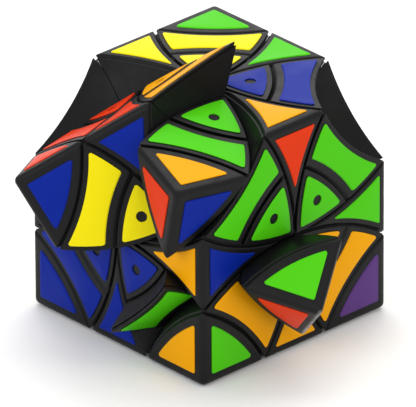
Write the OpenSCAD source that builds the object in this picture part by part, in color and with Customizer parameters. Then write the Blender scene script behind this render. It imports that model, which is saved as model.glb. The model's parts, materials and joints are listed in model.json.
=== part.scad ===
// Edge-turning twisty cube with curved cuts, shown in a jumbled state: one edge group is part way
// through a turn, one corner stands on the right face and the top front corner is out of its place.
// All cuts are spheres centred on the twelve edge axes, so each edge group turns about its own axis.

/* [Cube] */
// Side of the solved cube
side = 66; // [58:1:80]
// Radius of the cube's outer edges
edge_round = 1.6; // [0.8:0.1:2.4]
// Length of an edge piece along the cube's edge
edge_len = 22; // [20:0.5:24]
// Gap between neighbouring pieces
piece_gap = 0.3; // [0.2:0.05:0.5]

/* [Turn] */
// Angle that the top front edge group has been turned
front_turn = 52; // [30:1:60]

/* [Feet] */
// Radius, from the cube's centre, of the ledge that covers the feet
foot_top = 29.5; // [29:0.1:30]
// Radius of the inner face of the feet
foot_bottom = 25; // [24.5:0.1:26]
// How far a piece's upper part runs down into its foot
neck = 2; // [1.5:0.1:2.5]
// How far a foot reaches under its neighbours
foot_lip = 2.6; // [1.8:0.1:3]

/* [Core] */
// Radius of the ball in the middle of the core
core_r = 12.5; // [11.5:0.5:14]
// Radius of a hub under an edge piece
hub_r = 4.1; // [3.7:0.1:4.5]
// Distance of a hub's inner end from the centre
hub_start = 19.7; // [19.4:0.1:20.2]
// Thickness of a hub's floor
hub_floor = 2.5; // [2:0.1:3]
// Length of a hub
hub_len = 10.5; // [10:0.1:11]

/* [Screws] */
// Depth of a screw's tip in the core's ball
screw_bite = 1; // [0.5:0.1:2]
// Radius of a screw's shank
screw_r = 1.25; // [1:0.05:1.4]
// Radius of a screw's head
screw_head_r = 2.5; // [2.3:0.1:2.6]
// Height of a screw's head
screw_head_h = 1.6; // [1.2:0.1:2]
// Compressed length of a spring
spring_len = 3.4; // [3:0.1:3.8]
// Wall of a spring sleeve
spring_wall = 0.7; // [0.5:0.1:0.8]
// Thickness of a washer
washer_t = 0.4; // [0.3:0.1:0.6]

/* [Stickers] */
// Thickness of a sticker
sticker_t = 0.3; // [0.2:0.05:0.5]
// Margin between a corner's sticker and its curved side
corner_margin = 2; // [1.5:0.1:2.6]
// Margin between a corner's sticker and the cube's edges
corner_ridge = 3.1; // [2.4:0.1:3.6]
// Margin between an edge's sticker and its curved sides
edge_margin = 1.5; // [1:0.1:2]
// Margin between an edge's sticker and the cube's edge
edge_ridge = 2.7; // [2.4:0.1:3.6]
// Margin round a band's sticker
band_margin = 1.7; // [1.2:0.1:2]
// Margin round an eye's sticker
eye_margin = 1.7; // [1.2:0.1:2]
// Radius of the round hole in an eye's sticker
dot_r = 1.5; // [1:0.1:1.8]
// Distance of that hole's centre from the two middle lines of the face
dot_place = 7.75; // [7.25:0.25:8.25]

/* [Hidden] */
$fn = 64;
half = side / 2;
edge_half = edge_len / 2;
// A cut's circle on a face touches the face's centre and splits the next cube edge at edge_half
cut_reach = (edge_half * edge_half + half * half) / edge_len;
cut_r = sqrt(pow(cut_reach, 2) + pow(cut_reach - half, 2));
fit = piece_gap / 2;
centre_z = half + sticker_t;
far = 2 * side;
ball_tilt = asin(1 / sqrt(3));
hub_clear = 0.2;
screw_clear = 0.25;
hub_end = hub_start + hub_len;
seat_z = hub_start + hub_floor;
head_z = seat_z + spring_len + washer_t;
screw_start = core_r - screw_bite;

black = "#26262a";
green = "#55c823";
yellow = "#efe312";
amber = "#f2a90c";
red = "#dd3a1c";
blue = "#1d2f9c";
purple = "#5d3f7c";

// How many times the axes are turned to take the +Z face to each face
z_face = 0;
x_face = 1;
y_face = 2;

// Edges: name, turns of the axes, signs of the octant, body, colours on the two faces
edges = [
    ["edge_top_front", 1, [1, -1, 1], "front", [blue, red]],
    ["edge_top_back", 1, [1, 1, 1], "frame", [red, green]],
    ["edge_bottom_front", 1, [1, -1, -1], "frame", [blue, green]],
    ["edge_bottom_back", 1, [1, 1, -1], "frame", [red, amber]],
    ["edge_top_right", 2, [1, 1, 1], "frame", [amber, red]],
    ["edge_top_left", 2, [-1, 1, 1], "frame", [yellow, purple]],
    ["edge_bottom_right", 2, [1, 1, -1], "right", [yellow, amber]],
    ["edge_bottom_left", 2, [-1, 1, -1], "frame", [green, purple]],
    ["edge_front_right", 0, [1, -1, 1], "frame", [blue, amber]],
    ["edge_front_left", 0, [-1, -1, 1], "frame", [yellow, blue]],
    ["edge_back_right", 0, [1, 1, 1], "frame", [green, purple]],
    ["edge_back_left", 0, [-1, 1, 1], "back", [purple, red]],
];

// Corners: name, signs, body, colours on the x, y and z faces, half-turn axis of a displaced corner
corners = [
    ["corner_top_front_left", [-1, -1, 1], "front", [purple, blue, red], undef],
    ["corner_front_displaced", [1, -1, 1], "front", [red, amber, blue], [1, -2, 1]],
    ["corner_top_back_left", [-1, 1, 1], "back", [purple, red, green], undef],
    ["corner_bottom_back_left", [-1, 1, -1], "back", [amber, purple, blue], undef],
    ["corner_bottom_front_right", [1, -1, -1], "right", [green, amber, yellow], undef],
    ["corner_bottom_back_right", [1, 1, -1], "right", [purple, green, red], undef],
    ["corner_right_displaced", [1, -1, -1], "right", [red, amber, green], [2, -1, -1]],
    ["corner_bottom_front_left", [-1, -1, -1], "frame", [yellow, blue, purple], undef],
];

// Bands and eyes: face, signs, body, colour, half-turn axis of a displaced piece
bands = [
    [z_face, [-1, -1, 1], "front", red, undef],
    [z_face, [1, -1, 1], "front", amber, undef],
    [y_face, [-1, -1, 1], "front", yellow, undef],
    [y_face, [1, -1, 1], "front", green, [1, -2, 1]],
    [x_face, [-1, 1, 1], "back", purple, undef],
    [x_face, [-1, 1, -1], "back", purple, undef],
    [y_face, [-1, 1, 1], "back", red, undef],
    [y_face, [-1, 1, -1], "back", red, undef],
    [x_face, [1, -1, -1], "right", amber, undef],
    [x_face, [1, 1, -1], "right", amber, undef],
    [z_face, [1, -1, -1], "right", yellow, undef],
    [z_face, [1, 1, -1], "right", yellow, undef],
    [z_face, [1, 1, 1], "frame", blue, undef],
    [z_face, [-1, 1, 1], "frame", yellow, undef],
    [y_face, [-1, -1, -1], "frame", blue, undef],
    [y_face, [1, -1, -1], "frame", green, [1, -2, -1]],
    [x_face, [1, -1, 1], "frame", green, undef],
    [x_face, [1, 1, 1], "frame", green, undef],
    [x_face, [-1, -1, 1], "frame", yellow, undef],
    [x_face, [-1, -1, -1], "frame", yellow, undef],
    [y_face, [1, 1, 1], "frame", purple, undef],
    [y_face, [1, 1, -1], "frame", purple, undef],
    [z_face, [-1, -1, -1], "frame", green, undef],
    [z_face, [-1, 1, -1], "frame", green, undef],
];
// An eye lies in each band's slot, but for two: one is blue beside a green band, and one has gone
// to the top back right corner's place, below the right face's upper right band
moved_slot = [x_face, [1, -1, -1]];
eyes = [
    for (b = bands)
        [b[0], b[1]] == moved_slot ? [x_face, [1, 1, 1], "frame", amber, [2, 1, 1]]
        : b[4] == [1, -2, -1] ? [b[0], b[1], b[2], blue, undef]
        : b,
];

bodies = ["frame", "front", "back", "right"];
function of_body(list, at, body) = [for (item = list) if (item[at] == body) item];

// Places

module about_centre() {
    translate([0, 0, centre_z]) children();
}

module turned(body) {
    rotate(a = body == "front" ? front_turn : 0, v = [0, -1, 1]) children();
}

// Turns the axes (n times x to y to z to x), mirrors into an octant and applies a half turn
module placed(n, signs, half_axis = undef) {
    rotate(a = is_undef(half_axis) ? 0 : 180, v = is_undef(half_axis) ? [0, 0, 1] : half_axis)
        mirror([signs[0] < 0 ? 1 : 0, 0, 0])
            mirror([0, signs[1] < 0 ? 1 : 0, 0])
                mirror([0, 0, signs[2] < 0 ? 1 : 0])
                    rotate(a = 120 * n, v = [1, 1, 1]) children();
}

// Points +Z outwards along the axis of the edge [1, 1, 0]
module on_axis() {
    rotate([0, 90, 45]) children();
}

// Cuts

edge_xy = [1, 1, 0];
edge_xz = [1, 0, 1];
edge_yz = [0, 1, 1];
// The cut between a band and its eye is a neighbouring edge's cut, swung round by acos(1/3)
jumble_cut = [-1, -1, 4] / 3;

// A sphere is turned so that its seam lies on the side away from the cube
module cut(direction, grow) {
    tilt = asin(direction.z / norm(direction));
    translate(cut_reach * direction)
        rotate([0, -tilt, atan2(direction.y, direction.x)]) sphere(r = cut_r + grow, $fn = 180);
}

// A ball about the centre, with its seam away from the octant of +X +Y +Z
module ball(r) {
    rotate([0, 0, 45]) rotate([90, 0, 0]) rotate([0, 0, 180 + ball_tilt]) sphere(r = r);
}

module cuts(directions, grow) {
    for (d = directions) cut(d, grow);
}

module inside(directions, grow) {
    intersection_for(d = directions) cut(d, grow);
}

module outside_ball(r) {
    difference() {
        translate([-far, -far, -far]) cube(2 * far);
        ball(r);
    }
}

// A piece lies within some cuts and without others. Below the ledge all cuts are wider by foot_lip,
// so its foot reaches under the pieces that surround it
module piece(within, without) {
    union() {
        difference() {
            intersection() {
                children();
                inside(within, -fit);
            }
            if (len(without) > 0) {
                cuts(without, fit);
                intersection() {
                    ball(foot_top);
                    cuts(without, foot_lip + fit);
                }
            }
            ball(foot_top - neck);
        }
        difference() {
            inside(within, foot_lip - fit);
            cuts(without, foot_lip + fit);
            outside_ball(foot_top - piece_gap);
            ball(foot_bottom);
        }
    }
}

// Blanks

module face_blank() {
    translate([-half, -half, 0]) cube([side, side, half]);
}

module edge_blank() {
    flat = half - edge_round;
    translate([0, 0, -half]) {
        cube([half, flat, side]);
        cube([flat, half, side]);
        translate([flat, flat, 0]) cylinder(r = edge_round, h = side);
    }
}

module corner_blank() {
    flat = half - edge_round;
    for (n = [0:2]) rotate(a = 120 * n, v = [1, 1, 1]) {
        cube([flat, flat, half]);
        translate([flat, flat, 0]) cylinder(r = edge_round, h = flat);
    }
    translate([flat, flat, flat]) sphere(r = edge_round);
}

// Pieces, each made in the octant of +X +Y +Z

corner_cuts = [edge_xy, edge_xz, edge_yz];

module corner_piece() {
    piece(corner_cuts, []) corner_blank();
}

edge_neighbours = [[1, 0, 1], [0, 1, 1], [1, 0, -1], [0, 1, -1]];

// The edge has no foot: a screw holds it, through the hub in its blind socket
module edge_piece() {
    difference() {
        intersection() {
            edge_blank();
            cut(edge_xy, -fit);
        }
        cuts(edge_neighbours, fit);
        intersection() {
            ball(foot_top);
            cuts(edge_neighbours, foot_lip + fit);
        }
        ball(foot_bottom);
        on_axis() cylinder(r = hub_r + hub_clear / 2, h = hub_end + hub_clear);
    }
}

band_sides = [edge_xz, edge_yz];
band_ends = [edge_xy, jumble_cut];

module band_piece() {
    piece(band_sides, band_ends) face_blank();
}

eye_sides = [edge_xz, edge_yz, jumble_cut];
eye_ends = [[-1, 0, 1], [0, -1, 1]];

module eye_piece() {
    piece(eye_sides, eye_ends) face_blank();
}

// Stickers, each made on the +Z face

module sheet() {
    translate([-half, -half, half]) cube([side, side, sticker_t]);
}

// Keeps a sticker clear of the cube's edge at +X, and of the one at +Y if both is true
module ridge_limit(margin, both) {
    reach = side - margin;
    translate([-half, -half, 0]) cube([reach, both ? reach : side, far]);
}

module corner_sticker() {
    intersection() {
        sheet();
        ridge_limit(corner_ridge, true);
        inside(corner_cuts, -fit - corner_margin);
    }
}

module edge_sticker() {
    difference() {
        intersection() {
            sheet();
            ridge_limit(edge_ridge, false);
            cut(edge_xz, -fit - edge_margin);
        }
        cuts([[0, 1, 1], [0, -1, 1]], fit + edge_margin);
    }
}

module band_sticker() {
    difference() {
        intersection() {
            sheet();
            inside(band_sides, -fit - band_margin);
        }
        cuts(band_ends, fit + band_margin);
    }
}

module eye_sticker() {
    difference() {
        intersection() {
            sheet();
            inside(eye_sides, -fit - eye_margin);
        }
        translate([dot_place, dot_place, 0]) cylinder(r = dot_r, h = far);
    }
}

// Inner works

module core_spider() {
    color(black) about_centre() difference() {
        union() {
            ball(core_r);
            for (e = edges) placed(e[1], e[2]) on_axis() cylinder(r = hub_r, h = hub_start - piece_gap);
        }
        for (e = edges) placed(e[1], e[2]) on_axis() translate([0, 0, screw_start - screw_clear])
            cylinder(r = screw_r + screw_clear / 2, h = far);
    }
}

module hub() {
    on_axis() translate([0, 0, hub_start]) difference() {
        cylinder(r = hub_r, h = hub_len);
        translate([0, 0, hub_floor]) cylinder(r = screw_head_r + screw_clear, h = far);
        translate([0, 0, -1]) cylinder(r = screw_r + screw_clear, h = far);
    }
}

module screw() {
    on_axis() {
        translate([0, 0, screw_start]) cylinder(r = screw_r, h = head_z - screw_start + screw_head_h / 2);
        translate([0, 0, head_z]) cylinder(r = screw_head_r, h = screw_head_h);
    }
}

module washer() {
    on_axis() translate([0, 0, head_z - washer_t]) difference() {
        cylinder(r = screw_head_r, h = washer_t);
        translate([0, 0, -1]) cylinder(r = screw_r + screw_clear / 2, h = far);
    }
}

module spring() {
    on_axis() translate([0, 0, seat_z]) difference() {
        cylinder(r = screw_r + screw_clear + spring_wall, h = spring_len);
        translate([0, 0, -1]) cylinder(r = screw_r + screw_clear, h = far);
    }
}

module at_each_edge() {
    about_centre() for (e = edges) turned(e[3]) placed(e[1], e[2]) children();
}

module screws() { color("silver") at_each_edge() screw(); }

module washers() { color("silver") at_each_edge() washer(); }

module springs() { color("gray") at_each_edge() spring(); }

// Nodes of each body

module edge_node(e) {
    color(black) about_centre() turned(e[3]) placed(e[1], e[2]) edge_piece();
}

module corner_node(c) {
    color(black) about_centre() turned(c[2]) placed(0, c[1], c[4]) corner_piece();
}

module hubs(body) {
    color("dimgray") about_centre() turned(body)
        for (e = of_body(edges, 3, body)) placed(e[1], e[2]) hub();
}

module bands_of(body) {
    color(black) about_centre() turned(body)
        for (b = of_body(bands, 2, body)) placed(b[0], b[1], b[4]) band_piece();
}

module eyes_of(body) {
    color(black) about_centre() turned(body)
        for (y = of_body(eyes, 2, body)) placed(y[0], y[1], y[4]) eye_piece();
}

module stickers_of(body) {
    about_centre() turned(body) {
        for (c = of_body(corners, 2, body)) {
            for (face = [0:2]) {
                color(c[3][(face + 2) % 3]) placed(0, c[1], c[4])
                    rotate(a = 120 * face, v = [1, 1, 1]) corner_sticker();
            }
        }
        for (e = of_body(edges, 3, body)) {
            color(e[4][0]) placed(e[1], e[2]) rotate(a = 120, v = [1, 1, 1]) edge_sticker();
            color(e[4][1]) placed(e[1], e[2]) mirror([1, -1, 0])
                rotate(a = 120, v = [1, 1, 1]) edge_sticker();
        }
        for (b = of_body(bands, 2, body)) color(b[3]) placed(b[0], b[1], b[4]) band_sticker();
        for (y = of_body(eyes, 2, body)) color(y[3]) placed(y[0], y[1], y[4]) eye_sticker();
    }
}

core_spider();
screws();
washers();
springs();
for (e = edges) edge_node(e);
for (c = corners) corner_node(c);
for (b = bodies) {
    hubs(b);
    bands_of(b);
    eyes_of(b);
    stickers_of(b);
}
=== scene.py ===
import json
import math

import bpy
import numpy as np
from mathutils import Matrix, Quaternion, Vector


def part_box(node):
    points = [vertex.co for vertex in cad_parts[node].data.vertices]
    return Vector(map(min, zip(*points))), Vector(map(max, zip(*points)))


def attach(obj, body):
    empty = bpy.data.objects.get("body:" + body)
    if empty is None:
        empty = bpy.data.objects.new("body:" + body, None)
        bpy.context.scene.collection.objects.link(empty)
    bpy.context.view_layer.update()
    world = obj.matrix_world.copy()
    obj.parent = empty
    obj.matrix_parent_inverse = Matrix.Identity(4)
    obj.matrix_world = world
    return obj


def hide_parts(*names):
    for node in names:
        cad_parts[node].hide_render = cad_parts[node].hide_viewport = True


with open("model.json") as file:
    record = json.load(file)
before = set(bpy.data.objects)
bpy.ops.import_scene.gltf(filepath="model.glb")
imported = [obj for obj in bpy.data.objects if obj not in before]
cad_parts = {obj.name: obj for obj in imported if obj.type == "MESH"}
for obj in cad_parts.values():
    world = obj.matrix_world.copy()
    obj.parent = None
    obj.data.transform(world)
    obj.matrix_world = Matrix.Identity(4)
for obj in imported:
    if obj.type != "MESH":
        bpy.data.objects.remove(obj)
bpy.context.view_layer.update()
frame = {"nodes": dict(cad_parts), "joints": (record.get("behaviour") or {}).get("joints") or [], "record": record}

nodes = frame["nodes"]
bodies = frame["record"]["behaviour"]["bodies"]


# Core and hubs: a ball with twelve posts and the stems round its screws, moulded in black nylon.
# The pieces hide nearly all of them, so the CAD solids stay and only their finish is made here.
MM = 0.001
NYLON_BLACK = (0.012, 0.012, 0.013, 1)
NYLON_ROUGHNESS = (0.5, 0.65)
# A noise texture's values lie mostly between these two
NOISE_LOW, NOISE_HIGH = 0.3, 0.7
BUMP_STRENGTH = 0.5


def node_tree(material):
    """Empties a new material and gives its node tree and its Principled shader."""
    material.use_nodes = True
    tree = material.node_tree
    tree.nodes.clear()
    out = tree.nodes.new("ShaderNodeOutputMaterial")
    shader = tree.nodes.new("ShaderNodeBsdfPrincipled")
    tree.links.new(shader.outputs["BSDF"], out.inputs["Surface"])
    return tree, shader


def noise(tree, scale, detail):
    """A noise in object space, so that the grain keeps its real size on every piece."""
    place = tree.nodes.new("ShaderNodeTexCoord")
    texture = tree.nodes.new("ShaderNodeTexNoise")
    texture.inputs["Scale"].default_value = scale
    texture.inputs["Detail"].default_value = detail
    tree.links.new(place.outputs["Object"], texture.inputs["Vector"])
    return texture.outputs["Fac"]


def ranged(tree, value, low, high):
    """Maps a noise onto a range of shader values."""
    spread = tree.nodes.new("ShaderNodeMapRange")
    spread.inputs["From Min"].default_value = NOISE_LOW
    spread.inputs["From Max"].default_value = NOISE_HIGH
    spread.inputs["To Min"].default_value = low
    spread.inputs["To Max"].default_value = high
    tree.links.new(value, spread.inputs["Value"])
    return spread.outputs["Result"]


def bumped(tree, shader, height, distance):
    """Lets a height pattern tilt the surface, as the grain of a mould does."""
    bump = tree.nodes.new("ShaderNodeBump")
    bump.inputs["Strength"].default_value = BUMP_STRENGTH
    bump.inputs["Distance"].default_value = distance
    tree.links.new(height, bump.inputs["Height"])
    tree.links.new(bump.outputs["Normal"], shader.inputs["Normal"])


nylon = bpy.data.materials.new("core_nylon")
tree, shader = node_tree(nylon)
shader.inputs["Base Color"].default_value = NYLON_BLACK
tree.links.new(ranged(tree, noise(tree, scale=900, detail=3), *NYLON_ROUGHNESS),
               shader.inputs["Roughness"])
for name in ("core_spider", "hubs_frame", "hubs_front", "hubs_back", "hubs_right"):
    nodes[name].data.materials.clear()
    nodes[name].data.materials.append(nylon)


# Screws, washers and springs: plated steel hardware that holds each edge to the core. All of it
# sits inside the hubs, under the edges, and keeps its CAD form.
STEEL_GREY = (0.55, 0.55, 0.57, 1)
STEEL_ROUGHNESS = (0.25, 0.4)
plated = bpy.data.materials.new("plated_steel")
tree, shader = node_tree(plated)
shader.inputs["Base Color"].default_value = STEEL_GREY
shader.inputs["Metallic"].default_value = 1.0
tree.links.new(ranged(tree, noise(tree, scale=700, detail=2), *STEEL_ROUGHNESS),
               shader.inputs["Roughness"])
for name in ("screws", "washers", "springs"):
    nodes[name].data.materials.clear()
    nodes[name].data.materials.append(plated)


# Edges: twelve black pieces, moulded in ABS, one over each screw. A cap with a rounded rim stands
# on a narrow ledge, and below it the walls follow the spherical cuts down to room for the
# neighbours' feet. Each comes to a thin point near the middle of its two faces.
centre = Vector(frame["joints"][0]["pos_m"])
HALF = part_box("edge_top_back")[1].y
EDGE_HALF = 11 * MM
GAP = 0.08 * MM
# The cube's rounded ridges, and the cap with its rim, its flat top and its ledge
RIDGE = 1.6 * MM
RIM = 0.3 * MM
FLAT_IN = 0.45 * MM
RIM_ANGLES = (0, 22.5, 45, 67.5, 90)
CAP_IN = 0.35 * MM
CAP_DEEP = 1.0 * MM
LEDGE = 0.1 * MM
# The walls pass from a nearly square form to a sphere, and the feet lie between two spheres
WALL_STEPS = 10
SQUAREST, ROUNDEST = 32, 2
LIP_STEPS = 4
FOOT_TOP = 29.5 * MM
FOOT_BOTTOM = 25 * MM
FOOT_GAP = 0.25 * MM
FOOT_LIP = 2.6 * MM
CREASE = math.radians(40)
FRONT_TURN = math.radians(52)
FRONT_AXIS = Vector((0, -1, 1))
CUT_REACH = (EDGE_HALF ** 2 + HALF ** 2) / (2 * EDGE_HALF)
CUT_R = math.hypot(CUT_REACH, CUT_REACH - HALF)


def cut(direction, inside):
    """A spherical cut about an edge's axis: how far points lie beyond it, and which way that is."""
    middle, sign = CUT_REACH * np.array(direction, float), 1 if inside else -1

    def field(p):
        away = p - middle
        distance = np.linalg.norm(away, axis=-1, keepdims=True)
        return sign * (distance[..., 0] - CUT_R) + GAP / 2, sign * away / distance
    return field


def plane(normal, reach):
    """A flat limit: how far points lie beyond it, and which way that is."""
    normal = np.array(normal, float)
    return lambda p: (p @ normal - reach, np.broadcast_to(normal, p.shape))


def ball(radius):
    """A sphere about the cube's centre."""
    def field(p):
        distance = np.linalg.norm(p, axis=-1, keepdims=True)
        return distance[..., 0] - radius, p / distance
    return field


def skin(depth):
    """The cube's outside with its rounded ridges, or a surface that far below it."""
    def field(p):
        beyond = np.abs(p) - (HALF - RIDGE)
        # Below the ridges' own depth only the nearest face counts
        nearest = np.where(beyond == beyond.max(-1, keepdims=True), beyond, 0)
        beyond = np.where(beyond.max(-1, keepdims=True) > 0, np.maximum(beyond, 0), nearest)
        distance = np.linalg.norm(beyond, axis=-1, keepdims=True)
        sign = np.where(beyond.min(-1, keepdims=True) < 0, -1, 1)
        return (sign * distance)[..., 0] - RIDGE + depth, np.sign(p) * sign * beyond / distance
    return field


def dome(share):
    """A rounded cube inside the piece, which becomes the sphere over the feet at a share of 1."""
    power = ROUNDEST + (SQUAREST - ROUNDEST) * (1 - share) ** 3
    radius = (1 - share) * (HALF - CAP_DEEP - LEDGE) + share * FOOT_TOP

    def field(p):
        part = np.abs(p) / radius
        size = (part ** power).sum(-1, keepdims=True) ** (1 / power)
        return radius * (size[..., 0] - 1), np.sign(p) * (part / size) ** (power - 1)
    return field


LONGEST = 2 * MM
SHORTEST = 1e-12
SETTLE_STEPS = 24
KEEP_PASSES = 3


def settled(points, *fields):
    """Moves points onto all the given surfaces by the shortest steps, none of them over LONGEST."""
    for _ in range(SETTLE_STEPS):
        values, slopes = zip(*(field(points) for field in fields))
        step = (np.linalg.pinv(np.stack(slopes, -2)) @ np.stack(values, -1)[..., None])[..., 0]
        length = np.linalg.norm(step, axis=-1, keepdims=True)
        points = points - step * np.minimum(1, LONGEST / np.maximum(length, SHORTEST))
    return points


def inset(field, distance):
    """A limit moved into the piece."""
    return lambda p: (field(p)[0] + distance, field(p)[1])


def kept(points, limit, level):
    """Brings back onto a limit those points of a level surface that lie beyond it."""
    beyond = limit(points)[0] > 0
    return np.where(beyond[:, None], settled(points, limit, level), points)


def loop(sides, tips, level, insets, rounding, along=24, around=6):
    """A closed outline on a level surface, made of one curve per side with a rounded corner between
    each side and the next. tips gives roughly where those corners are."""
    count = len(sides)
    limits = [inset(side, distance) for side, distance in zip(sides, insets)]
    deeper = [inset(limit, rounding) for limit in limits]
    turn = [settled(np.array(tips[i]), deeper[i], deeper[(i + 1) % count], level)
            for i in range(count)]
    # Closer steps at the ends of a side, where it runs over a ridge
    steps = (1 - np.cos(np.pi * np.linspace(0, 1, along)))[:, None] / 2
    swings = np.arange(1, around)[:, None] / around
    points = []
    for i in range(count):
        side, following = limits[i], limits[(i + 1) % count]
        start, end = settled(turn[i - 1], side, level), settled(turn[i], side, level)
        points.append(settled(start + steps * (end - start), side, level))
        a, b = end - turn[i], settled(turn[i], following, level) - turn[i]
        swing = np.arccos(np.clip(a @ b / np.linalg.norm(a) / np.linalg.norm(b), -1, 1))
        spokes = (np.sin((1 - swings) * swing) * a + np.sin(swings * swing) * b) / np.sin(swing)
        arc = settled(turn[i] + spokes, level)
        for limit in (side, following) * KEEP_PASSES:
            arc = kept(arc, limit, level)
        points.append(arc)
    return np.concatenate(points), turn


def lofted(name, rings, end_faces, end_points=()):
    """A closed mesh: rings joined by quads, with the given faces at its ends. It is kept out of
    the scene, because only its copies are shown."""
    size = len(rings[0])
    verts = np.concatenate([np.concatenate(rings), np.reshape(end_points, (-1, 3))])
    faces = list(end_faces)
    for r in range(len(rings) - 1):
        for i in range(size):
            j = (i + 1) % size
            faces.append((r * size + i, (r + 1) * size + i, (r + 1) * size + j, r * size + j))
    mesh = bpy.data.meshes.new(name)
    mesh.from_pydata(verts.tolist(), [], faces)
    mesh.validate()
    mesh.shade_smooth()
    mesh.set_sharp_from_angle(angle=CREASE)
    return bpy.data.objects.new(name, mesh)


def flat_end(rings, at=0):
    """A flat face over one ring, looking up from the first ring and down from the last."""
    size = len(rings[0])
    face = tuple(at % len(rings) * size + i for i in range(size))
    return [face if at == 0 else face[::-1]]


def rim_levels():
    """The inset and depth of each ring round the cap: over its rounded rim, down its side and out
    over the ledge that it stands on."""
    rim = [(CAP_IN + RIM * (1 - math.sin(a)), RIM * (1 - math.cos(a)))
           for a in map(math.radians, RIM_ANGLES)]
    return [(CAP_IN + FLAT_IN, 0.0)] + rim + [(CAP_IN, CAP_DEEP), (0.0, CAP_DEEP + LEDGE)]


def piece_rings(sides, inward, tips, rounding, foot, within=None):
    """The rings of a piece: round its cap, down its walls and round its foot, which reaches under
    the neighbours where the piece lies inside a cut and makes room for theirs where it lies
    outside. Each ring stays within one more limit where that is given."""
    rings = []

    def ring(level, insets):
        points, turn = loop(sides, tips, level, insets, rounding)
        rings.append(kept(points, within, level) if within else points)
        return turn

    for far_in, depth in rim_levels():
        ring(skin(depth), [far_in] * len(sides))
    for share in np.linspace(0, 1, WALL_STEPS + 1)[1:]:
        tips = ring(dome(share), [0.0] * len(sides))
    if foot:
        lips = [-FOOT_LIP if inside else FOOT_LIP for inside in inward]
        room = [max(lip, 0.0) for lip in lips]
        shares = np.linspace(0, 1, LIP_STEPS + 1)[1:]
        if any(room):
            for share in shares:
                tips = ring(ball(FOOT_TOP), [share * r for r in room])
        under = ball(FOOT_TOP - FOOT_GAP)
        tips = ring(under, room)
        if lips != room:
            for share in shares:
                tips = ring(under, [r + share * (lip - r) for r, lip in zip(room, lips)])
        ring(ball(FOOT_BOTTOM), lips)
    return rings


EDGE_XY, EDGE_XZ, EDGE_YZ = (1, 1, 0), (1, 0, 1), (0, 1, 1)
EDGE_POINT = 9 * MM
EDGE_TIP_R = 0.12 * MM
edge_sides = [cut(EDGE_XZ, False), cut(EDGE_YZ, False), cut((0, 1, -1), False),
              cut((1, 0, -1), False)]
edge_tips = [(HALF, HALF, EDGE_HALF), (EDGE_POINT, HALF, 0), (HALF, HALF, -EDGE_HALF),
             (HALF, EDGE_POINT, 0)]
edge_rings = piece_rings(edge_sides, [False] * 4, edge_tips, EDGE_TIP_R, True, cut(EDGE_XY, True))
# Its top bends over the ridge in strips, each from one point of the ring to its mirror image
top = edge_rings[0]
size = len(top)
mirror = [int(np.argmin(np.linalg.norm(top - p * (1, 1, -1), axis=1))) for p in top]
edge_top = []
for i in range(size):
    j = (i + 1) % size
    if top[i][2] + top[j][2] > 0:
        edge_top.append(tuple(dict.fromkeys((i, j, mirror[j], mirror[i]))))
edge_top = [face for face in edge_top if len(face) > 2]
edge_shape = lofted("edge", edge_rings, edge_top + flat_end(edge_rings, -1))


ABS_BLACK = (0.007, 0.007, 0.007, 1)
ABS_GLOSS = 0.15
ABS_ROUGHNESS = (0.34, 0.5)
GRAIN_DEPTH = 0.02 * MM
black = bpy.data.materials.new("black_abs")
tree, shader = node_tree(black)
shader.inputs["Base Color"].default_value = ABS_BLACK
shader.inputs["Specular IOR Level"].default_value = ABS_GLOSS
tree.links.new(ranged(tree, noise(tree, scale=260, detail=4), *ABS_ROUGHNESS),
               shader.inputs["Roughness"])
bumped(tree, shader, noise(tree, scale=2600, detail=2), GRAIN_DEPTH)


def axis_turn(n):
    """The rotation that takes x to y, y to z and z to x, n times."""
    return Matrix.Rotation(math.radians(120 * n), 3, Vector((1, 1, 1)))


def stand(n, signs, swap, half_axis=None, front=False):
    """How a piece made in the octant of +X +Y +Z is turned into its place. A mirrored place is
    reached with the piece's own symmetry, swap, so that it stays a plain turn."""
    place = Matrix.Diagonal(Vector(signs)) @ axis_turn(n)
    if place.determinant() < 0:
        place = place @ swap
    if half_axis:
        place = Matrix.Rotation(math.pi, 3, Vector(half_axis)) @ place
    if front:
        place = Matrix.Rotation(FRONT_TURN, 3, FRONT_AXIS) @ place
    return place.to_quaternion()


def copier():
    """A node group that sets one copy of a shape at each point, turned by the point's own turn."""
    group = bpy.data.node_groups.new("place_copies", "GeometryNodeTree")
    group.interface.new_socket("Points", in_out="INPUT", socket_type="NodeSocketGeometry")
    group.interface.new_socket("Shape", in_out="INPUT", socket_type="NodeSocketObject")
    group.interface.new_socket("Finish", in_out="INPUT", socket_type="NodeSocketMaterial")
    group.interface.new_socket("Pieces", in_out="OUTPUT", socket_type="NodeSocketGeometry")
    n, link = group.nodes.new, group.links.new
    given, result = n("NodeGroupInput"), n("NodeGroupOutput")
    shape, turn = n("GeometryNodeObjectInfo"), n("GeometryNodeInputNamedAttribute")
    turn.data_type = "QUATERNION"
    turn.inputs["Name"].default_value = "turn"
    placed, real = n("GeometryNodeInstanceOnPoints"), n("GeometryNodeRealizeInstances")
    painted = n("GeometryNodeSetMaterial")
    link(given.outputs["Points"], placed.inputs["Points"])
    link(given.outputs["Shape"], shape.inputs["Object"])
    link(shape.outputs["Geometry"], placed.inputs["Instance"])
    link(turn.outputs["Attribute"], placed.inputs["Rotation"])
    link(placed.outputs["Instances"], real.inputs["Geometry"])
    link(real.outputs["Geometry"], painted.inputs["Geometry"])
    link(given.outputs["Finish"], painted.inputs["Material"])
    link(painted.outputs["Geometry"], result.inputs["Pieces"])
    return group


copies_group = copier()


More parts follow.
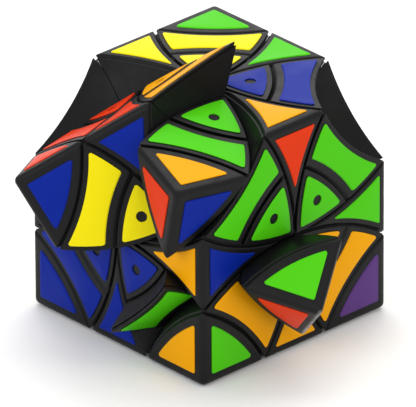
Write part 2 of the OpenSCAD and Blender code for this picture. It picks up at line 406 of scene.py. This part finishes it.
def copies(shape, turns, finish):
    """One plain mesh with a copy of a shape at the cube's centre for each turn."""
    points = bpy.data.meshes.new("places")
    points.from_pydata([centre] * len(turns), [], [])
    layer = points.attributes.new("turn", "QUATERNION", "POINT")
    layer.data.foreach_set("value", np.array([list(t) for t in turns], np.float32).ravel())
    holder = bpy.data.objects.new("places", points)
    bpy.context.scene.collection.objects.link(holder)
    modifier = holder.modifiers.new("copies", "NODES")
    modifier.node_group = copies_group
    sockets = {item.name: item.identifier for item in copies_group.interface.items_tree
               if item.in_out == "INPUT"}
    modifier[sockets["Shape"]] = shape
    modifier[sockets["Finish"]] = finish
    made = bpy.data.meshes.new_from_object(
        holder.evaluated_get(bpy.context.evaluated_depsgraph_get()))
    bpy.data.objects.remove(holder)
    return made


def shown(name, meshes, body, replaced=()):
    """Puts meshes into the scene as one piece that rides on a body."""
    piece = bpy.data.objects.new(name, meshes[0])
    bpy.context.scene.collection.objects.link(piece)
    if len(meshes) > 1:
        rest = [bpy.data.objects.new("part", mesh) for mesh in meshes[1:]]
        for part in rest:
            bpy.context.scene.collection.objects.link(part)
        with bpy.context.temp_override(active_object=piece,
                                       selected_editable_objects=[piece] + rest):
            bpy.ops.object.join()
    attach(piece, body)
    if replaced:
        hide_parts(*replaced)
    return piece


# The turns of the axes and the signs of each edge's octant, as named in the CAD model
edge_places = {
    "edge_top_front": (1, (1, -1, 1)), "edge_top_back": (1, (1, 1, 1)),
    "edge_bottom_front": (1, (1, -1, -1)), "edge_bottom_back": (1, (1, 1, -1)),
    "edge_top_right": (2, (1, 1, 1)), "edge_top_left": (2, (-1, 1, 1)),
    "edge_bottom_right": (2, (1, 1, -1)), "edge_bottom_left": (2, (-1, 1, -1)),
    "edge_front_right": (0, (1, -1, 1)), "edge_front_left": (0, (-1, -1, 1)),
    "edge_back_right": (0, (1, 1, 1)), "edge_back_left": (0, (-1, 1, 1)),
}
SWAP_XY = Matrix(((0, 1, 0), (1, 0, 0), (0, 0, 1)))
for body, members in bodies.items():
    named = [name for name in edge_places if name in members]
    turns = [stand(*edge_places[name], SWAP_XY, None, body == "front") for name in named]
    shown("edges_" + body, [copies(edge_shape, turns, black)], body, named)


# Corners: eight black three-sided pieces, moulded in ABS, each with a foot that reaches under its
# neighbours on all sides and holds it in. Two of them have been turned out of their places and
# stand proud of the faces.
CORNER_TIP_R = 0.3 * MM
SUMMIT_SHARES = (0.75, 0.5, 0.3, 0.17, 0.1, 0.06, 0.03)
corner_sides = [cut(EDGE_XY, True), cut(EDGE_YZ, True), cut(EDGE_XZ, True)]
corner_tips = [(HALF, EDGE_HALF, HALF), (HALF, HALF, EDGE_HALF), (EDGE_HALF, HALF, HALF)]
corner_rings = piece_rings(corner_sides, [True] * 3, corner_tips, CORNER_TIP_R, True)
# Its top is a set of smaller and smaller rings about the outermost point
summit = settled(np.array([HALF] * 3), skin(0.0))
size = len(corner_rings[0])
tops = [settled(summit + share * (corner_rings[0] - summit), skin(0.0))
        for share in SUMMIT_SHARES]
base = len(corner_rings) * size
order = [base + size * k for k in reversed(range(len(tops)))] + [0]
corner_top = [(base + size * len(tops), order[0] + i, order[0] + (i + 1) % size)
              for i in range(size)]
for inner, outer in zip(order, order[1:]):
    for i in range(size):
        j = (i + 1) % size
        corner_top.append((inner + i, outer + i, outer + j, inner + j))
corner_shape = lofted("corner", corner_rings, corner_top + flat_end(corner_rings, -1),
                      np.concatenate(tops + [summit[None]]))
# The signs of each corner's octant, and the axis of the half turn of one that has been displaced
RIGHT_HALF_AXIS = (2, -1, -1)
corner_places = {
    "corner_top_front_left": ((-1, -1, 1), None),
    "corner_front_displaced": ((1, -1, 1), (1, -2, 1)),
    "corner_top_back_left": ((-1, 1, 1), None),
    "corner_bottom_back_left": ((-1, 1, -1), None),
    "corner_bottom_front_right": ((1, -1, -1), None),
    "corner_bottom_back_right": ((1, 1, -1), None),
    "corner_right_displaced": ((1, -1, -1), RIGHT_HALF_AXIS),
    "corner_bottom_front_left": ((-1, -1, -1), None),
}
# The corner that stands out at the right has a grey band along its lower ridge, partly wear and partly a painted
# highlight, whose line is known from its half turn
WEAR_HIGHLIGHT_GREY = (0.50, 0.48, 0.46, 1)
WEAR_HIGHLIGHT_FULL, WEAR_HIGHLIGHT_NONE = 0.7 * MM, 1.6 * MM
WEAR_HIGHLIGHT_PATCHES = (0.1, 1.0)
# A copy of the black finish with grey mixed in near that ridge: wear, and a painted highlight
wear_and_highlight_finish = black.copy()
wear_and_highlight_finish.name = "scuffed_abs"
tree, shader = wear_and_highlight_finish.node_tree, wear_and_highlight_finish.node_tree.nodes["Principled BSDF"]
half_turn = Matrix.Rotation(math.pi, 3, Vector(RIGHT_HALF_AXIS))
place, away = tree.nodes.new("ShaderNodeTexCoord"), tree.nodes.new("ShaderNodeVectorMath")
away.operation = "SUBTRACT"
away.inputs[1].default_value = centre + half_turn @ Vector((HALF, -HALF, -HALF))
across = tree.nodes.new("ShaderNodeVectorMath")
across.operation = "CROSS_PRODUCT"
distance = tree.nodes.new("ShaderNodeVectorMath")
distance.operation = "LENGTH"
across.inputs[1].default_value = half_turn @ Vector((0, 0, 1))
near, wear_highlight_mask = tree.nodes.new("ShaderNodeMapRange"), tree.nodes.new("ShaderNodeMath")
near.inputs["From Min"].default_value = WEAR_HIGHLIGHT_FULL
near.inputs["From Max"].default_value = WEAR_HIGHLIGHT_NONE
near.inputs["To Min"].default_value = 1.0
near.inputs["To Max"].default_value = 0.0
wear_highlight_mask.operation = "MULTIPLY"
paint = tree.nodes.new("ShaderNodeMix")
paint.data_type = "RGBA"
paint.inputs["A"].default_value = shader.inputs["Base Color"].default_value
paint.inputs["B"].default_value = WEAR_HIGHLIGHT_GREY
tree.links.new(place.outputs["Object"], away.inputs[0])
tree.links.new(away.outputs["Vector"], across.inputs[0])
tree.links.new(across.outputs["Vector"], distance.inputs[0])
tree.links.new(distance.outputs["Value"], near.inputs["Value"])
tree.links.new(near.outputs["Result"], wear_highlight_mask.inputs[0])
tree.links.new(ranged(tree, noise(tree, scale=420, detail=3), *WEAR_HIGHLIGHT_PATCHES), wear_highlight_mask.inputs[1])
tree.links.new(wear_highlight_mask.outputs["Value"], paint.inputs["Factor"])
tree.links.new(paint.outputs["Result"], shader.inputs["Base Color"])
for body, members in bodies.items():
    named = [name for name in corner_places if name in members]
    made = []
    # The corner with the worn ridge and its painted highlight takes the second finish
    for finish, has_wear_and_highlight in ((black, False), (wear_and_highlight_finish, True)):
        turns = [stand(0, signs, SWAP_XY, half_axis, body == "front")
                 for signs, half_axis in (corner_places[name] for name in named)
                 if (half_axis == RIGHT_HALF_AXIS) == has_wear_and_highlight]
        if turns:
            made.append(copies(corner_shape, turns, finish))
    shown("corners_" + body, made, body, named)


# Bands: the curved black strips between a corner and an eye, moulded in ABS, with feet under the
# edges, which hold them in. One further sphere, an edge's cut after a jumbling turn, parts each
# band from its eye.
JUMBLE = (-1 / 3, -1 / 3, 4 / 3)
BAND_TIP_R = 0.15 * MM
# Roughly where a band's corners lie on its face, beside the corner piece and beside the eye
OUTER_NEAR, OUTER_FAR = 12 * MM, 31 * MM
INNER_NEAR, INNER_FAR = 5 * MM, 22 * MM
band_sides = [cut(EDGE_XZ, True), cut(EDGE_XY, False), cut(EDGE_YZ, True), cut(JUMBLE, False)]
band_tips = [(OUTER_NEAR, OUTER_FAR, HALF), (OUTER_FAR, OUTER_NEAR, HALF),
             (INNER_FAR, INNER_NEAR, HALF), (INNER_NEAR, INNER_FAR, HALF)]
Z_FACE, X_FACE, Y_FACE = 0, 1, 2
# Each band's face, octant, body and sticker colour, and the half turn of one that is displaced
band_places = [
    (Z_FACE, (-1, -1, 1), "front", "red", None), (Z_FACE, (1, -1, 1), "front", "amber", None),
    (Y_FACE, (-1, -1, 1), "front", "yellow", None),
    (Y_FACE, (1, -1, 1), "front", "green", (1, -2, 1)),
    (X_FACE, (-1, 1, 1), "back", "purple", None), (X_FACE, (-1, 1, -1), "back", "purple", None),
    (Y_FACE, (-1, 1, 1), "back", "red", None), (Y_FACE, (-1, 1, -1), "back", "red", None),
    (X_FACE, (1, -1, -1), "right", "amber", None), (X_FACE, (1, 1, -1), "right", "amber", None),
    (Z_FACE, (1, -1, -1), "right", "yellow", None), (Z_FACE, (1, 1, -1), "right", "yellow", None),
    (Z_FACE, (1, 1, 1), "frame", "blue", None), (Z_FACE, (-1, 1, 1), "frame", "yellow", None),
    (Y_FACE, (-1, -1, -1), "frame", "blue", None),
    (Y_FACE, (1, -1, -1), "frame", "green", (1, -2, -1)),
    (X_FACE, (1, -1, 1), "frame", "green", None), (X_FACE, (1, 1, 1), "frame", "green", None),
    (X_FACE, (-1, -1, 1), "frame", "yellow", None), (X_FACE, (-1, -1, -1), "frame", "yellow", None),
    (Y_FACE, (1, 1, 1), "frame", "purple", None), (Y_FACE, (1, 1, -1), "frame", "purple", None),
    (Z_FACE, (-1, -1, -1), "frame", "green", None), (Z_FACE, (-1, 1, -1), "frame", "green", None),
]
band_rings = piece_rings(band_sides, [True, False, True, False], band_tips, BAND_TIP_R, True)
band_shape = lofted("band", band_rings, flat_end(band_rings) + flat_end(band_rings, -1))
for body in bodies:
    turns = [stand(n, signs, SWAP_XY, half_axis, body == "front")
             for n, signs, rides, _, half_axis in band_places if rides == body]
    shown("bands_" + body + "_plastic", [copies(band_shape, turns, black)], body,
          ["bands_" + body])


# Eyes: the small black three-sided pieces round the middle of each face, moulded in ABS. The feet
# that hold them in are out of sight and left out here. Each eye lies beside its band but for two:
# a displaced band has left a blue one behind, and one has gone to the missing corner's place.
EYE_TIP_R = 0.2 * MM
EYE_POINT = 1 * MM
eye_sides = [cut(EDGE_XZ, True), cut(JUMBLE, True), cut(EDGE_YZ, True)]
eye_tips = [(INNER_NEAR, INNER_FAR, HALF), (INNER_FAR, INNER_NEAR, HALF),
            (EYE_POINT, EYE_POINT, HALF)]
eye_places = []
for n, signs, body, colour, half_axis in band_places:
    if (n, signs) == (X_FACE, (1, -1, -1)):
        eye_places.append((X_FACE, (1, 1, 1), "frame", "amber", (2, 1, 1)))
    elif half_axis == (1, -2, -1):
        eye_places.append((n, signs, body, "blue", None))
    else:
        eye_places.append((n, signs, body, colour, half_axis))
eye_rings = piece_rings(eye_sides, [True] * 3, eye_tips, EYE_TIP_R, False)
eye_shape = lofted("eye", eye_rings, flat_end(eye_rings) + flat_end(eye_rings, -1))
for body in bodies:
    turns = [stand(n, signs, SWAP_XY, half_axis, body == "front")
             for n, signs, rides, _, half_axis in eye_places if rides == body]
    shown("eyes_" + body + "_plastic", [copies(eye_shape, turns, black)], body,
          ["eyes_" + body])


# Stickers: die-cut vinyl glued on every outer face, with rounded corners and a black margin left
# all round. An eye's sticker has a round hole that shows the plastic below.
STICKER_T = 0.3 * MM
CORNER_MARGIN, CORNER_RIDGE = 2.0 * MM, 3.1 * MM
EDGE_MARGIN, EDGE_RIDGE = 1.5 * MM, 2.7 * MM
BAND_MARGIN, EYE_MARGIN = 1.7 * MM, 1.7 * MM
CORNER_R = 0.5 * MM
DOT_R = 1.5 * MM
DOT_PLACE = 7.75 * MM
SINK = 0.02 * MM
# The inset and height of each ring, from below the plastic over the rounded edge onto the top
LIFT = ((0.0, -SINK), (0.0, STICKER_T * 0.6), (STICKER_T * 0.15, STICKER_T * 0.9),
        (STICKER_T * 0.5, STICKER_T))
# Roughly where the stickers of corners and edges have their tips
CORNER_TIP, EDGE_TIP, EDGE_SIDE_TIP = 14 * MM, 14 * MM, 8 * MM


def sticker_rings(sides, tips, margins, rounding):
    """The rings of a sticker on the +Z face, from its top over and down its cut edge."""
    rings = []
    for far_in, height in LIFT:
        level = plane((0, 0, 1), HALF + height)
        rings.append(loop(sides, tips, level, [m + far_in for m in margins], rounding)[0])
    return rings[::-1]


shapes = {}
ridge = HALF - CORNER_RIDGE
rings = sticker_rings([cut(EDGE_XY, True), plane((1, 0, 0), HALF), plane((0, 1, 0), HALF)],
                      [(ridge, CORNER_TIP, HALF), (ridge, ridge, HALF), (CORNER_TIP, ridge, HALF)],
                      [CORNER_MARGIN, CORNER_RIDGE, CORNER_RIDGE], CORNER_R)
shapes["corner"] = lofted("corner_sticker", rings, flat_end(rings) + flat_end(rings, -1))
ridge = HALF - EDGE_RIDGE
rings = sticker_rings([cut(EDGE_YZ, False), cut((0, -1, 1), False), plane((1, 0, 0), HALF)],
                      [(EDGE_TIP, 0, HALF), (ridge, -EDGE_SIDE_TIP, HALF),
                       (ridge, EDGE_SIDE_TIP, HALF)],
                      [EDGE_MARGIN, EDGE_MARGIN, EDGE_RIDGE], CORNER_R / 2)
shapes["edge"] = lofted("edge_sticker", rings, flat_end(rings) + flat_end(rings, -1))
rings = sticker_rings(band_sides, band_tips, [BAND_MARGIN] * 4, CORNER_R)
shapes["band"] = lofted("band_sticker", rings, flat_end(rings) + flat_end(rings, -1))
rings = sticker_rings(eye_sides, eye_tips, [EYE_MARGIN] * 3, CORNER_R)
# The hole's rings follow the outline's points round the dot's centre
dot = np.array((DOT_PLACE, DOT_PLACE, 0))
spokes = (rings[0] - dot) * (1, 1, 0)
spokes = DOT_R * spokes / np.linalg.norm(spokes, axis=1, keepdims=True)
hole = [dot + spokes + (0, 0, HALF + height) for height in (STICKER_T, -SINK)]
size = len(rings[0])
last, upper, lower = ((len(rings) + k) * size for k in (-1, 0, 1))
eye_faces = []
for i in range(size):
    j = (i + 1) % size
    eye_faces += [(i, j, upper + j, upper + i), (upper + i, upper + j, lower + j, lower + i),
                  (last + j, last + i, lower + i, lower + j)]
shapes["eye"] = lofted("eye_sticker", rings, eye_faces, np.concatenate(hole))

sticker_colours = {
    "green": (0.075, 0.560, 0.006), "yellow": (0.860, 0.730, 0.004),
    "amber": (0.860, 0.370, 0.001), "red": (0.720, 0.040, 0.006),
    "blue": (0.003, 0.018, 0.270), "purple": (0.100, 0.040, 0.190),
}
VINYL_GLOSS = 0.07
VINYL_ROUGHNESS = (0.32, 0.45)
vinyl = {}
for colour, value in sticker_colours.items():
    vinyl[colour] = bpy.data.materials.new("vinyl_" + colour)
    tree, shader = node_tree(vinyl[colour])
    shader.inputs["Base Color"].default_value = (*value, 1)
    shader.inputs["Specular IOR Level"].default_value = VINYL_GLOSS
    tree.links.new(ranged(tree, noise(tree, scale=120, detail=3), *VINYL_ROUGHNESS),
                   shader.inputs["Roughness"])
    bumped(tree, shader, noise(tree, scale=500, detail=2), GRAIN_DEPTH)

# Two stickers on an edge, given as its colours on the two faces that its turns lead to, and three
# on a corner, on its x, y and z faces
edge_colours = {
    "edge_top_front": ("blue", "red"), "edge_top_back": ("red", "green"),
    "edge_bottom_front": ("blue", "green"), "edge_bottom_back": ("red", "amber"),
    "edge_top_right": ("amber", "red"), "edge_top_left": ("yellow", "purple"),
    "edge_bottom_right": ("yellow", "amber"), "edge_bottom_left": ("green", "purple"),
    "edge_front_right": ("blue", "amber"), "edge_front_left": ("yellow", "blue"),
    "edge_back_right": ("green", "purple"), "edge_back_left": ("purple", "red"),
}
corner_colours = {
    "corner_top_front_left": ("purple", "blue", "red"),
    "corner_front_displaced": ("red", "amber", "blue"),
    "corner_top_back_left": ("purple", "red", "green"),
    "corner_bottom_back_left": ("amber", "purple", "blue"),
    "corner_bottom_front_right": ("green", "amber", "yellow"),
    "corner_bottom_back_right": ("purple", "green", "red"),
    "corner_right_displaced": ("red", "amber", "green"),
    "corner_bottom_front_left": ("yellow", "blue", "purple"),
}
MIRROR_Y = Matrix(((1, 0, 0), (0, -1, 0), (0, 0, 1)))


def proper(place, symmetry):
    """A place as a plain turn, with the sticker's own mirror symmetry where it needs one."""
    return (place @ symmetry if place.determinant() < 0 else place).to_quaternion()


placed = {}
for body, members in bodies.items():
    group_turn = Matrix.Rotation(FRONT_TURN if body == "front" else 0, 3, FRONT_AXIS)
    for name in members:
        if name in edge_colours:
            n, signs = edge_places[name]
            home = group_turn @ Matrix.Diagonal(Vector(signs)) @ axis_turn(n)
            for colour, face in zip(edge_colours[name], (axis_turn(1), SWAP_XY @ axis_turn(1))):
                placed.setdefault((body, colour), []).append(
                    ("edge", proper(home @ face, MIRROR_Y)))
        if name in corner_colours:
            signs, half_axis = corner_places[name]
            home = Matrix.Diagonal(Vector(signs))
            if half_axis:
                home = Matrix.Rotation(math.pi, 3, Vector(half_axis)) @ home
            for n in range(3):
                colour = corner_colours[name][(n + 2) % 3]
                placed.setdefault((body, colour), []).append(
                    ("corner", proper(group_turn @ home @ axis_turn(n), SWAP_XY)))
for shape, places in (("band", band_places), ("eye", eye_places)):
    for n, signs, body, colour, half_axis in places:
        placed.setdefault((body, colour), []).append(
            (shape, stand(n, signs, SWAP_XY, half_axis, body == "front")))
for (body, colour), stuck in placed.items():
    meshes = [copies(shapes[kind], [turn for shape, turn in stuck if shape == kind], vinyl[colour])
              for kind in shapes if any(shape == kind for shape, _ in stuck)]
    shown(f"stickers_{body}_{colour}", meshes, body, ["stickers_" + body])


# Floor and backdrop: one wide sheet of white paper that the cube stands on. It is only the stage,
# and lies just below the stickers, so that none of them shares its plane.
SWEEP = 6.0
UNDER = -0.05 * MM
PAPER_SEEN = (0.96, 0.955, 0.945, 1)
PAPER_LIT = (0.6, 0.6, 0.6, 1)
PAPER_ROUGHNESS = 0.9
floor_mesh = bpy.data.meshes.new("floor")
floor_mesh.from_pydata([(-SWEEP, -SWEEP, UNDER), (SWEEP, -SWEEP, UNDER), (SWEEP, SWEEP, UNDER),
                        (-SWEEP, SWEEP, UNDER)], [], [(0, 1, 2, 3)])
floor = bpy.data.objects.new("floor", floor_mesh)
bpy.context.scene.collection.objects.link(floor)
paper = bpy.data.materials.new("white_paper")
tree, shader = node_tree(paper)
shader.inputs["Roughness"].default_value = PAPER_ROUGHNESS
shader.inputs["Specular IOR Level"].default_value = 0.0
# It is white to the camera and in reflections, and darker to the light that it throws back
seen = tree.nodes.new("ShaderNodeLightPath")
shows = None
for ray in ("Is Camera Ray", "Is Glossy Ray", "Is Transmission Ray"):
    either = tree.nodes.new("ShaderNodeMath")
    either.operation = "MAXIMUM"
    tree.links.new(seen.outputs[ray], either.inputs[0])
    if shows:
        tree.links.new(shows, either.inputs[1])
    shows = either.outputs["Value"]
tone = tree.nodes.new("ShaderNodeMix")
tone.data_type = "RGBA"
tone.inputs["A"].default_value = PAPER_LIT
tone.inputs["B"].default_value = PAPER_SEEN
tree.links.new(shows, tone.inputs["Factor"])
tree.links.new(tone.outputs["Result"], shader.inputs["Base Color"])
floor_mesh.materials.append(paper)


# Light: an evenly white room, with soft boxes over and behind the cube, for the gloss on its top,
# and a weaker one before each visible side. All of it is only the stage.
ROOM_LEVEL = 0.83
world = bpy.data.worlds.new("studio")
bpy.context.scene.world = world
world.use_nodes = True
room = world.node_tree.nodes["Background"]
room.inputs["Strength"].default_value = ROOM_LEVEL
room.inputs["Color"].default_value = (1, 1, 1, 1)


def soft_box(name, place, width, power, colour):
    """A square area light that faces the cube, with its width in metres and its power in watts."""
    lamp = bpy.data.lights.new(name, "AREA")
    lamp.size = width
    lamp.energy = power
    lamp.color = colour
    holder = bpy.data.objects.new(name, lamp)
    holder.location = place
    holder.rotation_euler = (centre - Vector(place)).to_track_quat("-Z", "Y").to_euler()
    bpy.context.scene.collection.objects.link(holder)


soft_box("top_box", (-0.25, 0.25, 0.85), width=0.7, power=3.6, colour=(1, 1, 1))
soft_box("back_box", (-0.85, 0.78, 0.63), width=0.8, power=2.4, colour=(1, 1, 1))
soft_box("front_box", (0.0, -0.9, 0.5), width=0.5, power=1.9, colour=(0.82, 0.88, 1))
soft_box("right_box", (0.85, -0.15, 0.5), width=0.6, power=1.7, colour=(1, 0.98, 0.95))


# Camera: a long lens at the photograph's angle, with the cube's centre a little above the middle.
# Its angle, distance and focal length were fitted to the cube's outline in the photograph.
PHOTO_W, PHOTO_H = 416, 407
AZIMUTH, ELEVATION, ROLL = math.radians(-42.76), math.radians(27.11), math.radians(-0.32)
DISTANCE = 2.845
FOCAL_PX = 10818
CENTRE_PX = (209.0, 193.8)
SENSOR = 36.0
CLIP_END = 100
camera = bpy.data.cameras.new("camera")
camera.sensor_width = SENSOR
camera.lens = SENSOR * FOCAL_PX / PHOTO_W
camera.shift_x = (PHOTO_W / 2 - CENTRE_PX[0]) / PHOTO_W
camera.shift_y = (CENTRE_PX[1] - PHOTO_H / 2) / PHOTO_W
camera.clip_end = CLIP_END
viewer = bpy.data.objects.new("camera", camera)
towards = Vector((math.cos(ELEVATION) * math.cos(AZIMUTH),
                  math.cos(ELEVATION) * math.sin(AZIMUTH), math.sin(ELEVATION)))
viewer.location = centre + DISTANCE * towards
level_view = (-towards).to_track_quat("-Z", "Y")
viewer.rotation_euler = (level_view @ Quaternion((0, 0, 1), ROLL)).to_euler()
bpy.context.scene.collection.objects.link(viewer)
bpy.context.scene.camera = viewer
bpy.context.scene.view_settings.view_transform = "Standard"
